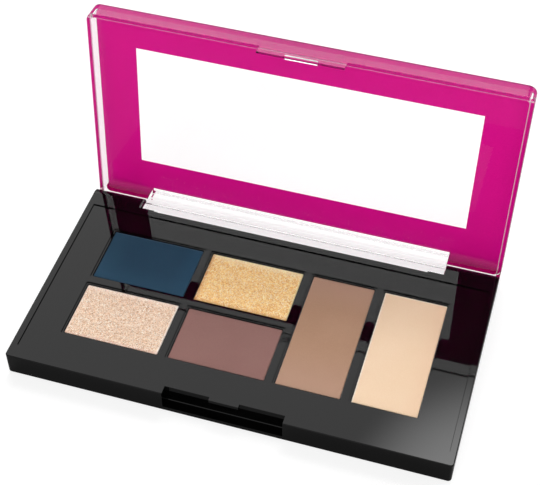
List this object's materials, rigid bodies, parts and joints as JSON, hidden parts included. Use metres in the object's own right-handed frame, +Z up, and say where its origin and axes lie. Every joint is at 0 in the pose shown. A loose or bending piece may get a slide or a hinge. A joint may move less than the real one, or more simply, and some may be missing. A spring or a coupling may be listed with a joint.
{
  "type": "eyeshadow palette",
  "caption": "Flat black cosmetics palette with pressed powders in shallow wells and a clear hinged lid with a coloured printed border, shown open.",
  "frame": {"origin": "centre of the base's underside", "axes": "+X to the user's right along the long side, +Y to the hinge at the rear, +Z up"},
  "size_m": [0.1202, 0.0778, 0.0659],
  "materials": {
    "black_gloss": "high-gloss black moulding",
    "clear_plastic": "water-clear moulding",
    "magenta_print": "opaque printed colour",
    "pan_metal": "thin pressed pan, dark lacquer",
    "glue": "hot-melt adhesive",
    "pin_steel": "drawn wire",
    "navy_powder": "pressed mineral powder, matte",
    "gold_powder": "pressed mineral powder, shimmer",
    "champagne_powder": "pressed mineral powder, shimmer",
    "plum_powder": "pressed mineral powder, matte",
    "taupe_powder": "pressed mineral powder, matte",
    "cream_powder": "pressed mineral powder, matte"
  },
  "bodies": {
    "base": {"base_shell": "black_gloss", "insert_tray": "black_gloss", "navy_glue": "glue", "navy_pan": "pan_metal", "navy_powder": "navy_powder", "gold_glue": "glue", "gold_pan": "pan_metal", "gold_powder": "gold_powder", "champagne_glue": "glue", "champagne_pan": "pan_metal", "champagne_powder": "champagne_powder", "plum_glue": "glue", "plum_pan": "pan_metal", "plum_powder": "plum_powder", "taupe_glue": "glue", "taupe_pan": "pan_metal", "taupe_powder": "taupe_powder", "cream_glue": "glue", "cream_pan": "pan_metal", "cream_powder": "cream_powder", "hinge_pin_left": "pin_steel", "hinge_pin_right": "pin_steel"},
    "lid": {"lid_shell": "clear_plastic", "lid_print": "magenta_print", "rear_print_left": "magenta_print", "rear_print_right": "magenta_print"}
  },
  "joints": [
    {"name": "lid_hinge", "type": "hinge", "parent": "base", "child": "lid", "pos_m": [0, 0.0305, 0.00355], "axis": [1, 0, 0], "range_deg": [0, 95.4]}
  ]
}
